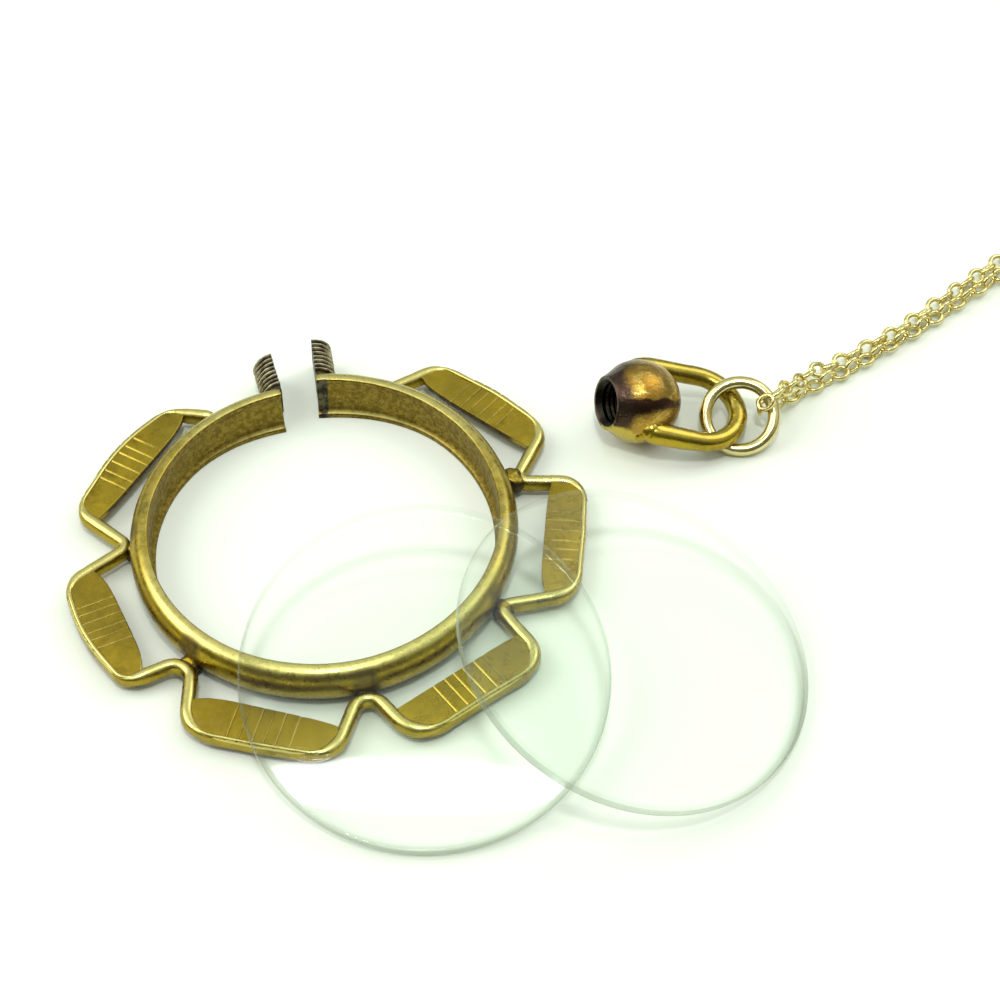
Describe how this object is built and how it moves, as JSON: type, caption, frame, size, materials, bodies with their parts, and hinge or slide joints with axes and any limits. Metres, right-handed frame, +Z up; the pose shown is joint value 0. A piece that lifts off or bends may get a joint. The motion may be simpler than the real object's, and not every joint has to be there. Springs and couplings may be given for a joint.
{
  "type": "glass locket",
  "caption": "Round glass locket taken apart: sprung bezel ring with a folded ribbon border, two clear glasses, screw-on ball with bail, jump ring and fine chain.",
  "frame": {"origin": "centre of the bezel ring, on the surface that the parts lie on", "axes": "+Z up from the surface; +X towards the ball and the chain; +Y from the ring's centre towards the gap between its threaded posts"},
  "size_m": [0.205, 0.1304, 0.0091],
  "materials": {
    "frame_brass": "old olive-gold brass, worn bright on its edges, dark in its corners",
    "clear_glass": "clear flat glass with a faint green edge",
    "ball_brass": "heat-stained orange and brown brass with yellow solder",
    "pale_gold": "polished pale gold",
    "chain_gold": "polished pale gold, fine links"
  },
  "bodies": {
    "root": {"bezel_frame": "frame_brass", "front_glass": "clear_glass", "back_glass": "clear_glass", "ball_cap": "ball_brass", "jump_ring": "pale_gold", "chain": "chain_gold", "clasp": "chain_gold"}
  },
  "joints": []
}
